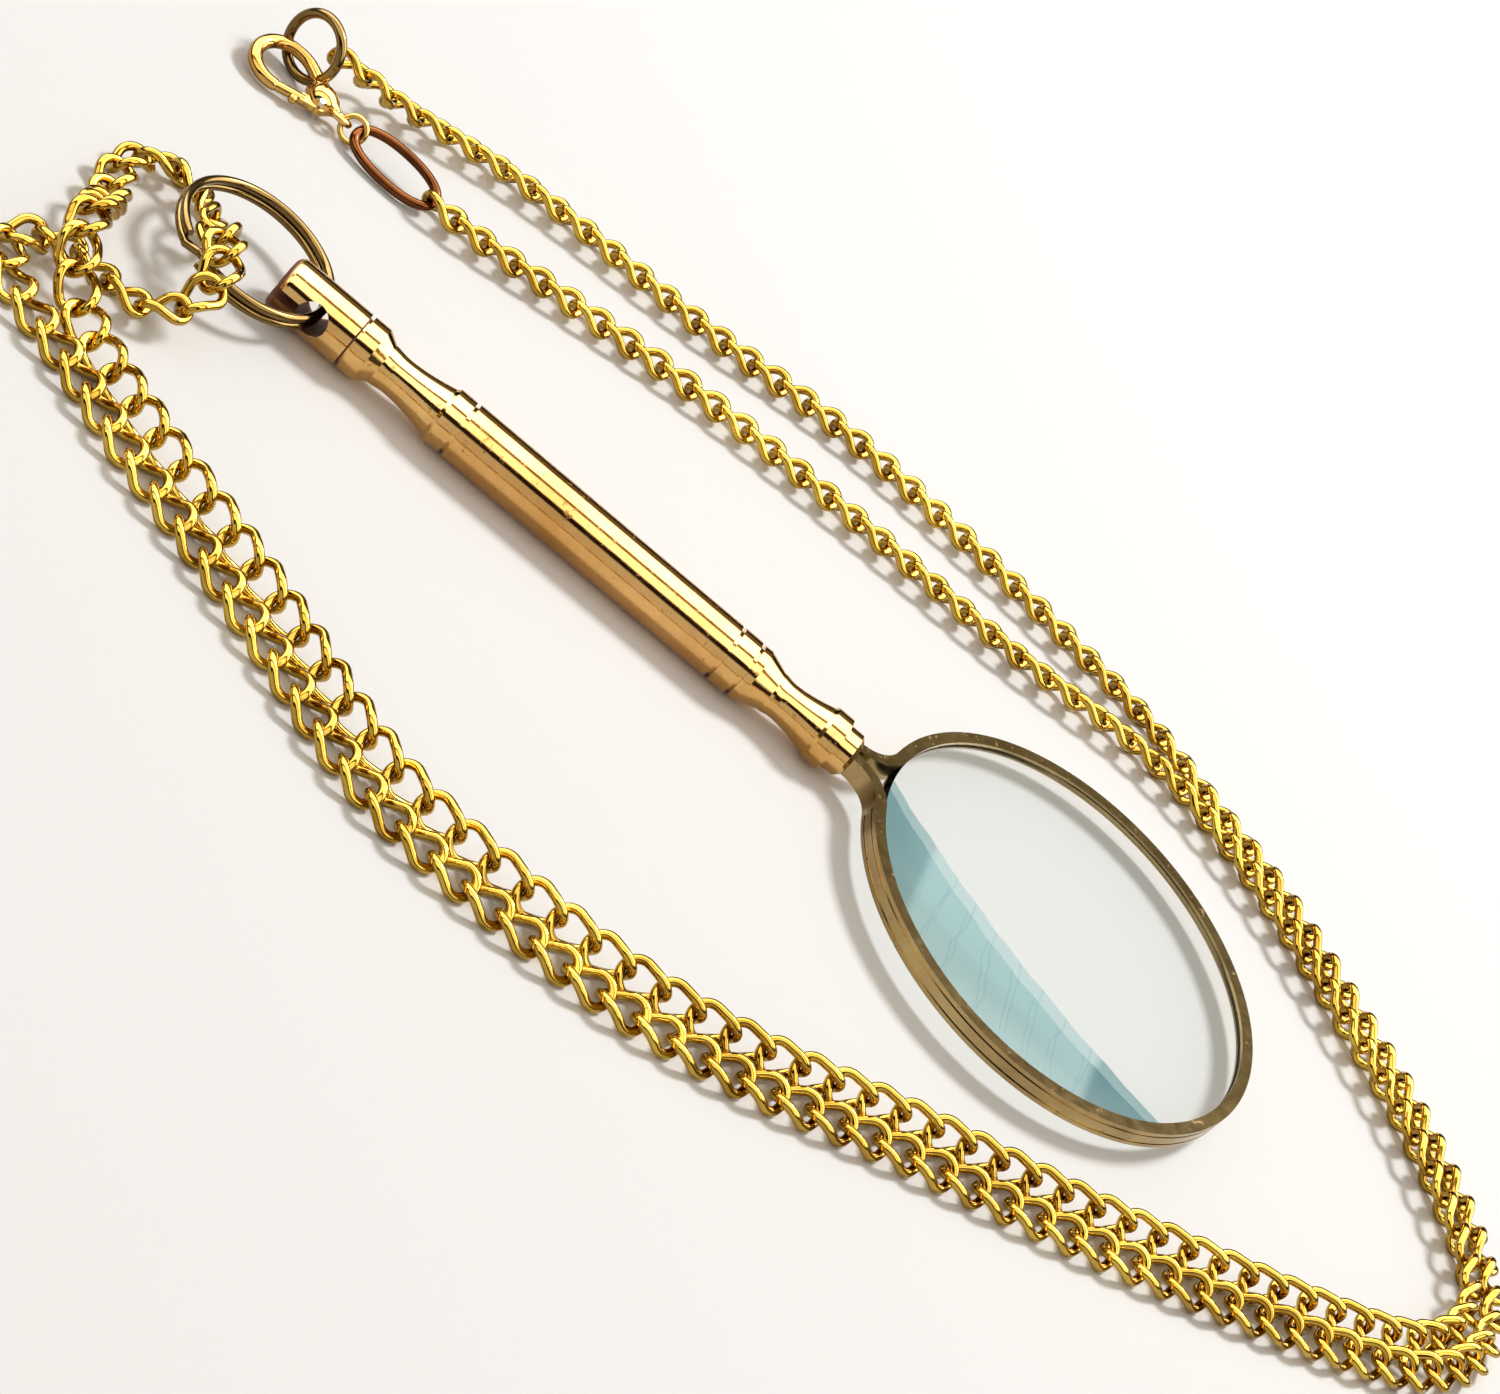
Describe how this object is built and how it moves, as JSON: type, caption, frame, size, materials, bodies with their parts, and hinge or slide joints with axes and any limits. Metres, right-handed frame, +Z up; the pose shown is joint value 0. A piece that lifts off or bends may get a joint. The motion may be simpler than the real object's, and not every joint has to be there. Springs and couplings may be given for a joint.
{
  "type": "monocle",
  "caption": "Handled magnifying monocle: round lens in a gold rim, turned gold handle, split ring and a long doubled curb chain with a lobster clasp.",
  "frame": {"origin": "on the table, half way between the split ring's rear and the rim's far end, under the handle's axis", "axes": "+X from the handle's ring to the lens, +Y to the far side, +Z up"},
  "size_m": [0.1436, 0.0856, 0.0062],
  "materials": {
    "gold": "polished",
    "antique_gold": "polished",
    "brass": "satin",
    "red_brown_metal": "polished",
    "steel": "satin",
    "lens_glass": "polished"
  },
  "bodies": {
    "frame": {"rim_band": "antique_gold", "lens": "lens_glass", "neck_wedge": "brass", "collar": "gold", "front_baluster": "gold", "barrel_band": "gold", "barrel_tube": "gold", "core_rod": "brass", "rear_baluster": "gold", "end_cap": "gold", "chain_at_ring": "gold", "chain_to_clasp": "gold", "chain_to_end_ring": "gold", "end_ring": "antique_gold", "oval_link": "red_brown_metal", "clasp_eye_ring": "gold", "clasp_body": "gold", "clasp_pin": "steel", "clasp_spring": "steel"},
    "ring": {"split_ring": "antique_gold"},
    "lever": {"clasp_lever": "gold"}
  },
  "joints": [
    {"name": "ring_swing", "type": "hinge", "parent": "frame", "child": "ring", "pos_m": [-0.04022, 0, 0.0025], "axis": [0, 1, 0], "range_deg": [-150, 150], "deforming": ["chain_at_ring"]},
    {"name": "clasp_gate", "type": "hinge", "parent": "frame", "child": "lever", "pos_m": [-0.05111, 0.02546, 0.00117], "axis": [0.0169, 0.2413, -0.9703], "range_deg": [0, 20], "stiffness_Nm_per_rad": 0.002, "springref_deg": -5.73, "deforming": ["clasp_spring"]}
  ]
}
